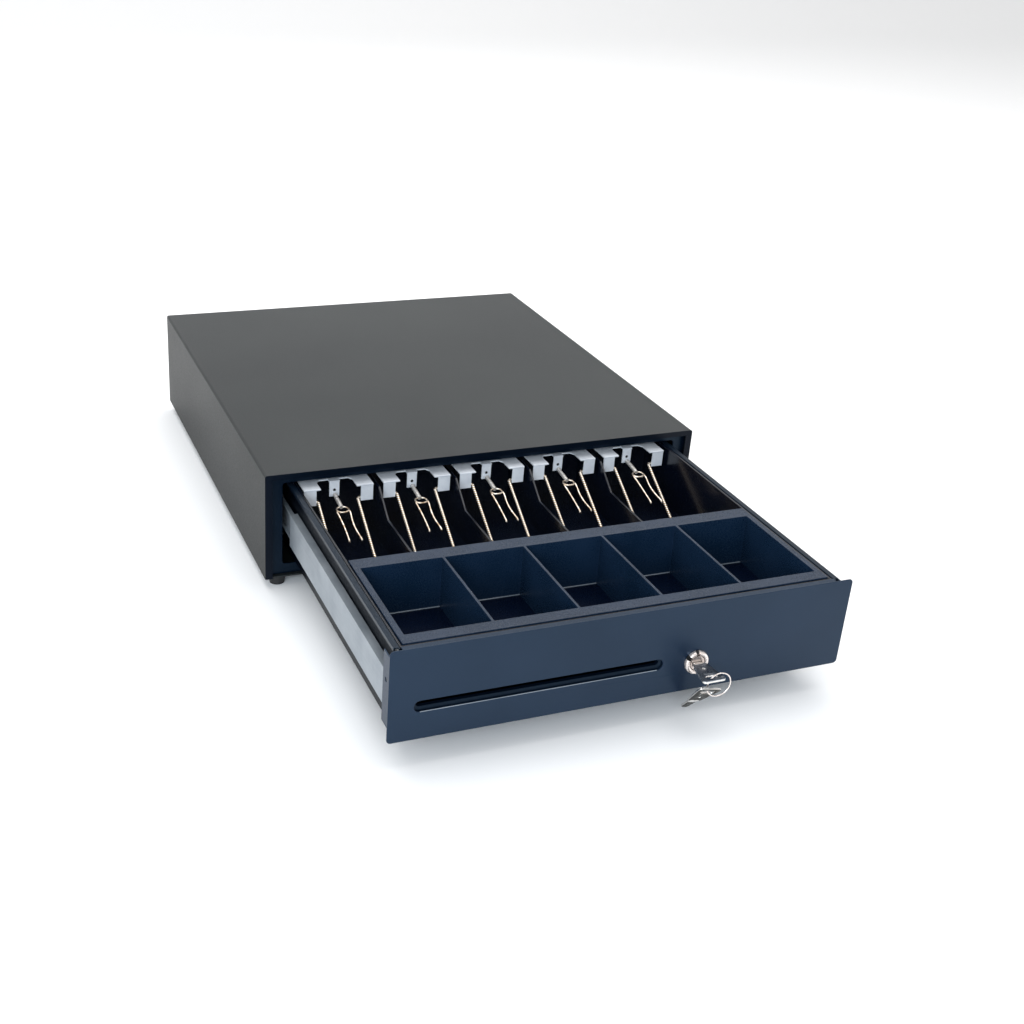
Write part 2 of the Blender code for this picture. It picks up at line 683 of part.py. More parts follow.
def mechanism_plate(zinc):
    """The plate that carries the latch, with ears for its pin and a tab for the kick spring."""
    depth, z = LATCH_PIVOT
    plate = box((-95 * MM, back(322 * MM), SHEET + GAP), (95 * MM, back(412 * MM), PLATE_TOP))
    joined = []
    for side in (-1, 1):
        low = (side * 9 * MM, back(depth - 7 * MM), 2 * MM)
        joined.append(box(low, (side * 10.6 * MM, back(depth + 7 * MM), z + 6 * MM)))
    joined.append(
        box((SPRING_X - 9 * MM, back(372 * MM), 2 * MM), (SPRING_X + 9 * MM, back(374 * MM), SPRING_Z + 9 * MM))
    )
    pin_hole = prism(disc((back(depth), z), 1.8 * MM, 12), "X", -12 * MM, 12 * MM)
    guide_hole = prism(disc((SPRING_X, SPRING_Z), 2.3 * MM, 12), "Y", back(370 * MM), back(376 * MM))
    return piece("mechanism_plate", combined(plate, joined, [pin_hole, guide_hole]), zinc)


def latch(zinc, steel):
    depth, z = LATCH_PIVOT
    pin = prism(disc((back(depth), z), 1.5 * MM, 12), "X", -12 * MM, 12 * MM)
    piece("latch_pin", pin, steel, smooth=50)

    # The nose is in front of the striker's lip when the latch is up, and under it when it is down.
    outline = ((330, 12), (330, 21.2), (334.4, 20.2), (336, 17), (364, 17), (392, 15.5), (392, 11), (336, 10))
    arm = prism([(back(d * MM), height * MM) for d, height in outline], "X", -6 * MM, 6 * MM)
    hole = prism(disc((back(depth), z), 1.8 * MM, 12), "X", -8 * MM, 8 * MM)
    piece("latch_lever", combined(arm, [], [hole]), zinc, (0, back(depth), z))


def latch_striker(zinc):
    """The catch on the drawer's back wall: a tongue with a lip turned down at its end."""
    foot = box((-15 * MM, deep(BOX_REAR + GAP), 20 * MM), (15 * MM, deep(321.2 * MM), 42 * MM))
    tongue = box((-7 * MM, deep(320 * MM), 27.5 * MM), (7 * MM, deep(341.4 * MM), 29 * MM))
    lip = box((-7 * MM, deep(339.9 * MM), 22.3 * MM), (7 * MM, deep(341.4 * MM), 29 * MM))
    return piece("latch_striker", combined(foot, [tongue, lip]), zinc)


def solenoid(zinc, copper, steel):
    """The release solenoid stands over the latch's rear arm, its plunger hanging down to it."""
    y, low, high = back(386 * MM), 20 * MM, 58 * MM
    outer = box((-15 * MM, y - 13 * MM, low), (15 * MM, y + 13 * MM, high))
    window = box((-20 * MM, y - 11.4 * MM, low + 1.6 * MM), (20 * MM, y + 11.4 * MM, high - 1.6 * MM))
    legs = []
    for side in (-1, 1):
        legs.append(box((side * 15 * MM, y + 9 * MM, PLATE_TOP + GAP), (side * 12 * MM, y + 13 * MM, low + 1 * MM)))
    hole = prism(disc((0, y), 4.8 * MM, 20), "Z", low - 2 * MM, low + 4 * MM)
    piece("solenoid_frame", combined(outer, legs, [window, hole]), zinc)

    coil = prism(disc((0, y), 10.6 * MM, 28), "Z", low + 2.1 * MM, high - 2.1 * MM)
    bore = prism(disc((0, y), 4.6 * MM, 20), "Z", low, high - 8 * MM)
    piece("solenoid_coil", combined(coil, [], [bore]), copper, smooth=50)

    rod = prism(disc((0, y), 4 * MM, 20), "Z", PLUNGER_FOOT, 46 * MM)
    piece("solenoid_plunger", rod, steel, (0, y, PLUNGER_FOOT), 50)


def kick_spring(steel, zinc):
    """The spring that throws the drawer open, drawn at its pressed length on its guide rod."""
    start, end, radius, wire, turns, steps = back(322.2 * MM), back(370.9 * MM), 5.2 * MM, 0.6 * MM, 9, 12
    points = []
    for i in range(turns * steps + 1):
        angle = 2 * math.pi * i / steps
        along = start + (end - start) * i / (turns * steps)
        points.append((SPRING_X + radius * math.cos(angle), along, SPRING_Z + radius * math.sin(angle)))
    piece("kick_spring", tube(points, wire, 6), steel, smooth=60)

    rod = prism(disc((SPRING_X, SPRING_Z), 2 * MM, 12), "Y", back(320.5 * MM), back(380 * MM))
    head = prism(disc((SPRING_X, SPRING_Z), 6 * MM, 16), "Y", back(319.7 * MM), back(321.2 * MM))
    piece("spring_guide", combined(rod, [head]), zinc, smooth=50)


def microswitch(plastic):
    """The switch that tells the till whether the drawer is shut."""
    x = SWITCH_X
    body = box((x - 10 * MM, back(324 * MM), PLATE_TOP + GAP), (x + 10 * MM, back(334 * MM), 32 * MM))
    lever = box((x - 8 * MM, back(320 * MM), 26 * MM), (x - 5 * MM, back(325 * MM), 31 * MM))
    return piece("microswitch", combined(body, [lever]), plastic)


def drive_socket(plastic):
    """The modular socket that takes the printer's lead."""
    x, z = SOCKET_X, SOCKET_Z
    body = box(
        (x - SOCKET_HALF_W, back(403 * MM), z - SOCKET_HALF_H), (x + SOCKET_HALF_W, back(422.6 * MM), z + SOCKET_HALF_H)
    )
    pocket = box((x - 4.9 * MM, back(408 * MM), z - 3.5 * MM), (x + 4.9 * MM, back(425 * MM), z + 3.2 * MM))
    latch_slot = box((x - 2 * MM, back(412 * MM), z - 5 * MM), (x + 2 * MM, back(425 * MM), z))
    bracket = box((x - 5 * MM, back(404 * MM), SHEET + GAP), (x + 5 * MM, back(406 * MM), z))
    return piece("drive_socket", combined(body, [bracket], [pocket, latch_slot]), plastic)


def main():
    clear_scene()
    paint = finish("satin_black_paint", (0.02, 0.024, 0.03), 0.35, 0.0)
    rubber = finish("black_rubber", (0.015, 0.015, 0.016), 0.8, 0.0)
    zinc = finish("bright_zinc", (0.66, 0.68, 0.70), 0.3, 1.0)
    steel = finish("plain_steel", (0.5, 0.5, 0.52), 0.35, 1.0)
    chrome = finish("bright_chrome", (0.8, 0.76, 0.7), 0.12, 1.0)
    gloss = finish("gloss_black_plastic", (0.012, 0.014, 0.02), 0.2, 0.0)
    copper = finish("coil_tape", (0.35, 0.2, 0.06), 0.5, 0.0)

    housing_cover(paint)
    base_pan(paint)
    front_frame(paint)
    rear_panel(paint)
    feet(rubber)
    rear_screws(steel)
    runners(zinc)

    drawer_box(paint)
    drawer_front(paint)
    side_screws(paint)
    till_tray(gloss)
    coin_tray(gloss)
    for number in range(1, BAYS + 1):
        note_clip(number, zinc)
        bail(number, zinc)
        fork(number, zinc)
    lock(chrome, steel)
    keys(chrome)

    mechanism_plate(zinc)
    latch(zinc, steel)
    latch_striker(zinc)
    solenoid(zinc, copper, steel)
    kick_spring(steel, zinc)
    microswitch(gloss)
    drive_socket(gloss)


main()
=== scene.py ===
"""The looks of the till drawer: its finishes, its fine wire and key pieces, the light and the camera."""

import math

import bmesh
import bpy
from mathutils import Matrix, Vector


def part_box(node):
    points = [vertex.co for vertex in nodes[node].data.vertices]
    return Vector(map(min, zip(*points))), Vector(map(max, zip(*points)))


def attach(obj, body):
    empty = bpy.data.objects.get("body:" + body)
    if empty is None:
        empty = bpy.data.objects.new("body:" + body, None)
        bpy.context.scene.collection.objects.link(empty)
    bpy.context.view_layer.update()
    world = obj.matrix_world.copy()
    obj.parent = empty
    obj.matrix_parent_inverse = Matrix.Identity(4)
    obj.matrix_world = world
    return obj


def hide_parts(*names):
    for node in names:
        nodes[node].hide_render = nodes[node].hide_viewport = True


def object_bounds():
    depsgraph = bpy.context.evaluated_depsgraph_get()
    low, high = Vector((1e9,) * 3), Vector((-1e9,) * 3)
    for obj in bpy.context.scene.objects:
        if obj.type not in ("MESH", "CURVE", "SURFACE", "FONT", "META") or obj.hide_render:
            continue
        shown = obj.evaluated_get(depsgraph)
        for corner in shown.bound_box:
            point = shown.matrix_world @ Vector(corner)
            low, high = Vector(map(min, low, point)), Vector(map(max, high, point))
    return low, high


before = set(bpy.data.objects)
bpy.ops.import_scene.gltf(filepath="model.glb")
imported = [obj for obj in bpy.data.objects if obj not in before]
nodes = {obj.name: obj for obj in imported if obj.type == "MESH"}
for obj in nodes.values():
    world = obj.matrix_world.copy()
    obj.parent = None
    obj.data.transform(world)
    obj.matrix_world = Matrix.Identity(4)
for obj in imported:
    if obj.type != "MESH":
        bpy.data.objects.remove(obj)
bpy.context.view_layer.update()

MM = 0.001
BAYS = (1, 2, 3, 4, 5)
MIDDLE_BAY = 3
NOTE_PITCH = 71 * MM
COIN_PITCH = 68.6 * MM
TRAY_WALL = 2 * MM
BAIL_WIRE_R = 1.8 * MM
SLOT_LEFT = -169.7 * MM
SLOT_RIGHT = 28.3 * MM
SLOT_Z = 42 * MM
SLOT_H = 9.5 * MM
BOW_SLOT = 5.6 * MM
SPARE_PLACE = math.radians(204)
SPARE_SLOPE = math.radians(51)
SPARE_TURN = math.radians(12)
SPARE_ROLL = math.radians(17)


# ---- finishes ---------------------------------------------------------------------------------


def node(tree, kind, **inputs):
    """A shader node of this kind, with these values on its sockets."""
    made = tree.nodes.new(kind)
    for name, value in inputs.items():
        made.inputs[name.replace("_", " ")].default_value = value
    return made


def noise(tree, coords, scale, detail=3.0, stretch=(1, 1, 1)):
    """Noise over the object, in features of about 1/scale metres."""
    mapping = node(tree, "ShaderNodeMapping", Scale=stretch)
    tree.links.new(coords, mapping.inputs["Vector"])
    made = node(tree, "ShaderNodeTexNoise", Scale=scale, Detail=detail)
    tree.links.new(mapping.outputs["Vector"], made.inputs["Vector"])
    return made.outputs["Fac"]


def ranged(tree, value, low, high, start=0.3, end=0.7):
    """The value's stretch from start to end, spread over low to high."""
    made = node(tree, "ShaderNodeMapRange", From_Min=start, From_Max=end, To_Min=low, To_Max=high)
    tree.links.new(value, made.inputs["Value"])
    return made.outputs["Result"]


def blended(tree, amount, dark, light):
    """The dark colour where the amount is 0, and the light one where it is 1."""
    made = tree.nodes.new("ShaderNodeMix")
    made.data_type = "RGBA"
    made.inputs["A"].default_value = (*dark, 1)
    made.inputs["B"].default_value = (*light, 1)
    tree.links.new(amount, made.inputs["Factor"])
    return made.outputs["Result"]


def surface(name, dark, light, rough, metallic=0.0, mottle=25, grain=900, bump=0.1, **extra):
    """A finish with blotches of two tones, uneven roughness, and a fine raised grain.

    rough is (smoothest, roughest). mottle and grain are the blotches and grains in a metre. extra may
    hold stretch, which draws the grain out into brush marks, and shader values by socket name.
    """
    made = bpy.data.materials.new(name)
    made.use_nodes = True
    tree = made.node_tree
    shader = tree.nodes["Principled BSDF"]
    stretch = extra.pop("stretch", (1, 1, 1))
    for socket, value in extra.items():
        shader.inputs[socket.replace("_", " ")].default_value = value
    shader.inputs["Metallic"].default_value = metallic
    coords = node(tree, "ShaderNodeTexCoord").outputs["Object"]

    blotches = noise(tree, coords, mottle, 5)
    fine = noise(tree, coords, grain, 3, stretch)
    tree.links.new(blended(tree, ranged(tree, blotches, 0, 1), dark, light), shader.inputs["Base Color"])
    worn = tree.nodes.new("ShaderNodeMath")
    worn.operation = "MULTIPLY_ADD"
    worn.inputs[1].default_value = 0.55
    tree.links.new(blotches, worn.inputs[0])
    tree.links.new(ranged(tree, fine, 0, 0.45, 0.2, 0.8), worn.inputs[2])
    tree.links.new(ranged(tree, worn.outputs[0], *rough, 0.2, 0.85), shader.inputs["Roughness"])
    raised = node(tree, "ShaderNodeBump", Strength=bump, Distance=0.05 * MM)
    tree.links.new(fine, raised.inputs["Height"])
    tree.links.new(raised.outputs["Normal"], shader.inputs["Normal"])
    return made


NAVY_SHEEN = (0.5, 0.74, 1, 1)
WARM_SHEEN = (1, 0.95, 0.9, 1)


def powder_coat(name, dark, light, rough, sheen, level, mottle=25):
    """Satin paint with a fine orange peel, whose shine is a little coloured."""
    return surface(
        name, dark, light, rough, mottle=mottle, bump=0.2, Specular_Tint=sheen, Specular_IOR_Level=level
    )


cover_paint = powder_coat(
    "cover_powder_coat", (0.009, 0.012, 0.014), (0.024, 0.028, 0.029), (0.3, 0.46), WARM_SHEEN, 0.28, 5
)
panel_paint = powder_coat(
    "panel_powder_coat", (0.006, 0.013, 0.028), (0.009, 0.018, 0.037), (0.3, 0.42), NAVY_SHEEN, 0.35, 12
)
box_paint = powder_coat(
    "box_powder_coat", (0.002, 0.005, 0.011), (0.004, 0.008, 0.016), (0.26, 0.4), NAVY_SHEEN, 0.28
)
frame_paint = powder_coat(
    "frame_powder_coat", (0.001, 0.004, 0.010), (0.002, 0.006, 0.014), (0.3, 0.42), NAVY_SHEEN, 0.25
)
till_plastic = surface(
    "till_plastic", (0.001, 0.002, 0.006), (0.002, 0.004, 0.010), (0.16, 0.28), grain=1500, bump=0.05
)
coin_plastic = surface(
    "coin_plastic", (0.004, 0.014, 0.033), (0.007, 0.020, 0.046), (0.22, 0.34), grain=1500, bump=0.08,
    Specular_IOR_Level=0.38,
)
# Pale plastic for painted highlights: thin tubes on the cells' eased floor corners and on the slot's lower
# lip.
painted_edge_highlight = surface(
    "painted_edge_highlight", (0.14, 0.17, 0.20), (0.24, 0.27, 0.31), (0.2, 0.3), grain=1500, bump=0.05
)
rubber = surface(
    "foot_rubber", (0.010, 0.010, 0.011), (0.018, 0.018, 0.019), (0.65, 0.85), mottle=200, bump=0.3
)
zinc = surface(
    "bright_zinc", (0.70, 0.74, 0.80), (0.86, 0.90, 0.95), (0.34, 0.48), 0.2, 90, 700, 0.08,
    stretch=(1, 0.06, 1),
)
runner_zinc = surface(
    "runner_zinc", (0.20, 0.23, 0.26), (0.29, 0.32, 0.35), (0.34, 0.48), 0.45, 40, 800, 0.1,
    stretch=(1, 0.03, 1),
)
# Painted shade: the cabinet rails are zinc like the runners, painted near black as they sit in the dark
# mouth.
painted_shade_zinc = surface(
    "painted_shade_zinc", (0.004, 0.005, 0.007), (0.010, 0.011, 0.014), (0.4, 0.55), 0.3, 60, 700, 0.1
)
steel = surface("plain_steel", (0.38, 0.38, 0.39), (0.52, 0.52, 0.53), (0.28, 0.45), 1.0, 150, 900, 0.1)
chrome = surface("warm_chrome", (0.84, 0.74, 0.69), (0.95, 0.88, 0.84), (0.1, 0.24), 0.8, 120, 1200, 0.03)
plug_metal = surface("plug_metal", (0.50, 0.42, 0.38), (0.86, 0.74, 0.68), (0.15, 0.3), 0.9, 300, 1200, 0.05)
key_face = surface("key_face", (0.13, 0.15, 0.18), (0.20, 0.22, 0.25), (0.22, 0.38), 0.85, 250, 1500, 0.08)
spare_face = surface(
    "spare_key_face", (0.005, 0.006, 0.004), (0.024, 0.024, 0.017), (0.3, 0.45), 0.85, 150, 1500, 0.08
)
key_edge = surface("key_edge", (0.72, 0.70, 0.67), (0.90, 0.88, 0.85), (0.12, 0.22), 0.9, 250, 1500, 0.05)
wire_gold = surface("fork_wire", (0.38, 0.27, 0.17), (0.92, 0.84, 0.74), (0.12, 0.25), 0.85, 260, 1200, 0.04)
sleeve_metal = surface(
    "sleeve_metal", (0.62, 0.58, 0.53), (0.85, 0.81, 0.77), (0.2, 0.34), 0.5, 400, 1200, 0.05
)
# Near black for painted shade, in the clip eyes and on the floors of the lock bezel's notches.
painted_hole_shade = surface("painted_hole_shade", (0.002, 0.003, 0.004), (0.004, 0.005, 0.007), (0.6, 0.8), mottle=400)
matt_plastic = surface(
    "socket_plastic", (0.016, 0.016, 0.017), (0.024, 0.024, 0.025), (0.5, 0.65), grain=1200
)
coil_tape = surface("coil_tape", (0.30, 0.17, 0.04), (0.42, 0.26, 0.08), (0.4, 0.55), grain=500, bump=0.2)


def retoned(material, amount, colour, level):
    """Turns the finish to another tone, and its shine to another strength, where the amount is 1."""
    tree = material.node_tree
    shader = tree.nodes["Principled BSDF"]
    painted = shader.inputs["Base Color"].links[0].from_socket
    mixed = blended(tree, amount, colour, colour)
    tree.links.new(painted, mixed.node.inputs["A"])
    tree.links.new(mixed, shader.inputs["Base Color"])
    shine = node(tree, "ShaderNodeMix", B=level)
    old = shader.inputs["Specular IOR Level"]
    shine.inputs["A"].default_value = old.default_value
    if old.links:
        tree.links.new(old.links[0].from_socket, shine.inputs["A"])
    tree.links.new(amount, shine.inputs["Factor"])
    tree.links.new(shine.outputs["Result"], old)


def along_axis(material, axis, full, none):
    """1 where the piece's own coordinate on this axis is at full, falling to 0 at none."""
    tree = material.node_tree
    spread = tree.nodes.new("ShaderNodeSeparateXYZ")
    tree.links.new(node(tree, "ShaderNodeTexCoord").outputs["Object"], spread.inputs["Vector"])
    low, high = sorted((full, none))
    return ranged(tree, spread.outputs[axis], float(full < none), float(full > none), low, high)


def on_sides(material):
    """1 on faces that look along X, and 0 on the others."""
    tree = material.node_tree
    spread = tree.nodes.new("ShaderNodeSeparateXYZ")
    tree.links.new(tree.nodes.new("ShaderNodeNewGeometry").outputs["Normal"], spread.inputs["Vector"])
    squared = tree.nodes.new("ShaderNodeMath")
    squared.operation = "MULTIPLY"
    for slot in (0, 1):
        tree.links.new(spread.outputs["X"], squared.inputs[slot])
    return ranged(tree, squared.outputs[0], 0, 1, 0.4, 0.9)


def striped_wire():
    """A wire with bright and gold bands that run round it on a slant."""
    made = surface("twisted_wire", (0.4, 0.3, 0.2), (0.5, 0.4, 0.3), (0.16, 0.3), 0.6, 200, 1200, 0.04)
    tree = made.node_tree
    coords = tree.nodes.new("ShaderNodeUVMap")
    bands = node(tree, "ShaderNodeTexWave", Scale=0.3, Distortion=0.0)
    bands.bands_direction = "DIAGONAL"
    tree.links.new(coords.outputs["UV"], bands.inputs["Vector"])
    bright = ranged(tree, bands.outputs["Fac"], 0, 1, 0.35, 0.65)
    colour = blended(tree, bright, (0.40, 0.26, 0.12), (0.92, 0.88, 0.82))
    tree.links.new(colour, tree.nodes["Principled BSDF"].inputs["Base Color"])
    return made


twisted_wire = striped_wire()


def paint(material, *names):
    """Gives these CAD nodes this finish."""
    for name in names:
        slots = nodes[name].material_slots
        if not slots:
            nodes[name].data.materials.append(material)
        for each in nodes[name].material_slots:
            each.material = material


def soften(width, *names):
    """Small round edges on a CAD piece that has sharp ones, as folded sheet and mouldings have."""
    for name in names:
        weld = nodes[name].modifiers.new("weld", "WELD")
        weld.merge_threshold = 0.01 * MM
        bevel = nodes[name].modifiers.new("edges", "BEVEL")
        bevel.limit_method = "ANGLE"
        bevel.angle_limit = math.radians(40)
        bevel.width = width
        bevel.segments = 2


# ---- piece making -----------------------------------------------------------------------------


def added(name, data):
    """A new object in the scene with this mesh, light or camera."""
    made = bpy.data.objects.new(name, data)
    bpy.context.scene.collection.objects.link(made)
    return made


def meshed(name, mesh):
    """A new object with this mesh, which is used up."""
    data = bpy.data.meshes.new(name)
    mesh.to_mesh(data)
    mesh.free()
    data.shade_smooth()
    return added(name, data)


def piece(name, mesh, material, body, smooth=40, stands_for=()):
    """A piece that moves with the body. smooth is the sharpest edge, in degrees, that is shaded round."""
    made = meshed(name, mesh)
    data = made.data
    for each in material if isinstance(material, tuple) else (material,):
        data.materials.append(each)
    data.set_sharp_from_angle(angle=math.radians(smooth))
    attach(made, body)
    if stands_for:
        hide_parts(*stands_for)
    return made


def smooth_path(points, steps=5):
    """The points joined by a Catmull-Rom curve."""
    points = [Vector(p) for p in points]
    padded = [2 * points[0] - points[1], *points, 2 * points[-1] - points[-2]]
    made = []
    for a, b, c, d in zip(padded, padded[1:], padded[2:], padded[3:]):
        for step in range(steps):
            t = step / steps
            bend, flex = 2 * a - 5 * b + 4 * c - d, 3 * b - a - 3 * c + d
            made.append(0.5 * (2 * b + (c - a) * t + bend * t * t + flex * t**3))
    return [*made, points[-1]]


def add_tube(mesh, points, radius, sides=12, closed=False):
    """A round wire along the points, of one radius or with a list of its radius at each of them.

    Its UV is the length along it in millimetres and, round it, 0 to 4, so that bands can run along it.
    """
    uv = mesh.loops.layers.uv.verify()
    points = [Vector(p) for p in points]
    count = len(points)
    radii = radius if isinstance(radius, list) else [radius] * count
    heading = (points[1] - points[0]).normalized()
    across = heading.orthogonal().normalized()
    rings, lengths, travelled = [], [], 0.0
    for i, point in enumerate(points):
        if closed:
            new_heading = (points[(i + 1) % count] - points[i - 1]).normalized()
        else:
            new_heading = (points[min(i + 1, count - 1)] - points[max(i - 1, 0)]).normalized()
        across = heading.rotation_difference(new_heading) @ across
        heading = new_heading
        travelled += (point - points[i - 1]).length if i else 0
        lengths.append(travelled)
        ring = []
        for k in range(sides):
            turn = Matrix.Rotation(2 * math.pi * k / sides, 3, heading)
            ring.append(mesh.verts.new(point + turn @ across * radii[i]))
        rings.append(ring)
    if closed:
        rings.append(rings[0])
        lengths.append(travelled + (points[0] - points[-1]).length)
    else:
        mesh.faces.new(reversed(rings[0]))
        mesh.faces.new(rings[-1])
    for i in range(len(rings) - 1):
        for k in range(sides):
            m = (k + 1) % sides
            face = mesh.faces.new((rings[i][k], rings[i][m], rings[i + 1][m], rings[i + 1][k]))
            corners = ((lengths[i], k), (lengths[i], k + 1), (lengths[i + 1], k + 1), (lengths[i + 1], k))
            for loop, (length, place) in zip(face.loops, corners):
                loop[uv].uv = (length / MM, place / sides * 4)
    return mesh


def add_plate(mesh, outline, thickness, matrix, bevel=0.0, holes=()):
    """A flat plate with this outline in X and Y, its middle at z 0, put in place by the matrix.

    Its two faces take the piece's first material, and its rim the second.
    """
    part = bmesh.new()
    ring = [part.verts.new((x, y, -thickness / 2)) for x, y in outline]
    edges = [part.edges.new((a, b)) for a, b in zip(ring, ring[1:] + ring[:1])]
    for hole in holes:
        inner = [part.verts.new((x, y, -thickness / 2)) for x, y in hole]
        edges += [part.edges.new((a, b)) for a, b in zip(inner, inner[1:] + inner[:1])]
    bmesh.ops.triangle_fill(part, edges=edges, use_beauty=True, use_dissolve=False)
    flat = list(part.faces)
    made = bmesh.ops.extrude_face_region(part, geom=flat)
    moved = [v for v in made["geom"] if isinstance(v, bmesh.types.BMVert)]
    bmesh.ops.translate(part, verts=moved, vec=(0, 0, thickness))
    bmesh.ops.recalc_face_normals(part, faces=part.faces)
    if bevel:
        sharp = [e for e in part.edges if len(e.link_faces) == 2 and e.calc_face_angle() > math.radians(60)]
        rim = [e for e in sharp if abs(e.verts[0].co.z - e.verts[1].co.z) < 1e-7]
        bmesh.ops.bevel(part, geom=rim, offset=bevel, segments=2, affect="EDGES", profile=0.5)
    part.normal_update()
    for face in part.faces:
        face.material_index = 0 if abs(face.normal.z) > 0.9 else 1
    bmesh.ops.transform(part, matrix=matrix, verts=part.verts)
    scratch = bpy.data.meshes.new("scratch")
    part.to_mesh(scratch)
    part.free()
    mesh.from_mesh(scratch)
    bpy.data.meshes.remove(scratch)
    return mesh


def oval(cx, cy, half_x, half_y, steps=8):
    """A slot's outline: a rectangle with fully round ends along X."""
    points = []
    for side, start in ((1, -90), (-1, 90)):
        for step in range(steps + 1):
            angle = math.radians(start + 180 * step / steps)
            x = side * max(half_x - half_y, 0) + half_y * math.cos(angle)
            points.append((cx + x, cy + half_y * math.sin(angle)))
    return points


def circle(steps):
    """Points round a circle of radius 1."""
    return [(math.cos(2 * math.pi * i / steps), math.sin(2 * math.pi * i / steps)) for i in range(steps)]


# ---- the cabinet and the drawer's sheet metal --------------------------------------------------

paint(cover_paint, "housing_cover", "rear_panel", "base_pan")
paint(panel_paint, "drawer_front")
paint(box_paint, "drawer_box", "side_screw_left", "side_screw_right")
paint(frame_paint, "front_frame")

# Painted shade: the cover is painted a plainer, duller black on its sides, and darker navy with less shine
# on the face at its front edge.
retoned(cover_paint, on_sides(cover_paint), (0.008, 0.010, 0.010), 0.065)
front_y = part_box("housing_cover")[0][1]
front_edge_shade = along_axis(cover_paint, "Y", front_y, front_y + 0.7 * MM)
retoned(cover_paint, front_edge_shade, (0.001, 0.004, 0.010), 0.12)

# Painted shade: the drawer's pan is painted darker and duller below its folded lips, which shade it.
lip_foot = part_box("drawer_box")[1][2] - 3.6 * MM
shade_below_lip = along_axis(box_paint, "Z", lip_foot, lip_foot + 0.5 * MM)
retoned(box_paint, shade_below_lip, (0.0005, 0.001, 0.003), 0.06)

# Painted shade: the coin cells' floors, deep in the cells, are painted darker and less shiny than their
# walls.
cell_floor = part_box("coin_tray")[0][2] + TRAY_WALL
cell_floor_shade = along_axis(coin_plastic, "Z", cell_floor, cell_floor + 0.5 * MM)
retoned(coin_plastic, cell_floor_shade, (0.0005, 0.003, 0.012), 0.16)

paint(till_plastic, "till_tray")
paint(coin_plastic, "coin_tray")
paint(rubber, *[f"foot_{end}_{hand}" for end in ("front", "rear") for hand in ("left", "right")])
paint(steel, *[f"rear_screw_{n}" for n in (1, 2, 3, 4)], "latch_pin", "kick_spring", "solenoid_plunger")
paint(steel, "lock_nut", "lock_cam")
paint(runner_zinc, *[f"{kind}_rail_{hand}" for kind in ("drawer", "middle") for hand in ("left", "right")])
# Painted shade: the cabinet rails take the near-black zinc.
paint(painted_shade_zinc, "cabinet_rail_left", "cabinet_rail_right")
paint(zinc, *[f"note_clip_{n}" for n in BAYS], "mechanism_plate", "latch_lever", "latch_striker")
paint(zinc, "solenoid_frame", "spring_guide")
paint(plug_metal, "lock_plug")
paint(matt_plastic, "microswitch", "drive_socket")
paint(coil_tape, "solenoid_coil")

soften(0.5 * MM, "housing_cover", "drawer_front", "front_frame", "drawer_box", "coin_tray", "till_tray")
soften(0.35 * MM, *[f"note_clip_{n}" for n in BAYS])


# ---- note clips' wires -------------------------------------------------------------------------


def bail(number):
    """The twisted U of wire that holds the notes down, with its two ends turned out under the clip."""
    low, high = (Vector(v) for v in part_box(f"bail_{number}"))
    x = (low.x + high.x) / 2
    half = (high.x - low.x) / 2 - BAIL_WIRE_R
    back = Vector((x, high.y - 1.2 * MM, high.z - 1.6 * MM))
    front = Vector((x, low.y + BAIL_WIRE_R, low.z + BAIL_WIRE_R))
    along = (front - back).normalized()
    corner, corner_steps = 4 * MM, 5
    path = []
    for side in (-1, 1):
        out = Vector((side, 0, 0))
        leg_top = back + out * half
        leg = [leg_top + out * 3.5 * MM, leg_top + out * 1 * MM, leg_top + along * 1 * MM]
        leg += [leg_top + along * 2.5 * MM, front + out * half - along * corner]
        for step in range(1, corner_steps + 1):
            angle = math.radians(90) * step / corner_steps
            reach = half - corner + corner * math.cos(angle)
            leg.append(front + out * reach + along * corner * (math.sin(angle) - 1))
        path += leg if side < 0 else leg[::-1]
    mesh = add_tube(bmesh.new(), path, 1.25 * MM, 12)
    piece(f"bail_wire_{number}", mesh, twisted_wire, f"bail_{number}", 60, [f"bail_{number}"])


def fork(number):
    """The sprung fork: a rolled sleeve, a round crown, and two prongs that bow down to pinched tips."""
    low, high = (Vector(v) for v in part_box(f"fork_{number}"))
    x, rear, top = (low.x + high.x) / 2, high.y, high.z
    mesh = bmesh.new()

    start = Vector((x, rear - 0.4 * MM, top - 2.0 * MM))
    end = Vector((x, rear - 20 * MM, top - 4.9 * MM))
    steps = 56
    ridged = [1.75 * MM + 0.12 * MM * math.sin(math.pi * i / 2) for i in range(steps + 1)]
    add_tube(mesh, [start.lerp(end, i / steps) for i in range(steps + 1)], ridged, 14)
    for face in mesh.faces:
        face.material_index = 1

    crown_middle = end + Vector((0, -3.6 * MM, -0.6 * MM))
    crown = [crown_middle + Vector((5.3 * a, 4.3 * b, 0.5 * b)) * MM for a, b in circle(28)]
    add_tube(mesh, crown, 0.8 * MM, 8, closed=True)

    for side in (-1, 1):
        profile = ((4.9, 23.4, 5.5), (5.5, 26.5, 6.2), (5.2, 31, 7.6), (4.5, 38, 10.4), (4.4, 46, 12.8))
        profile += ((4.9, 54, 14.4), (5.4, 60, 15.6), (5.5, 61.6, 17.2))
        points = smooth_path([(x + side * a * MM, rear - b * MM, top - c * MM) for a, b, c in profile], 4)
        radii = [0.85 * MM] * (len(points) - 4) + [0.95 * MM, 0.85 * MM, 0.65 * MM, 0.45 * MM]
        add_tube(mesh, points, radii, 10)
    finishes = (wire_gold, sleeve_metal)
    piece(f"fork_wire_{number}", mesh, finishes, f"fork_{number}", 60, [f"fork_{number}"])


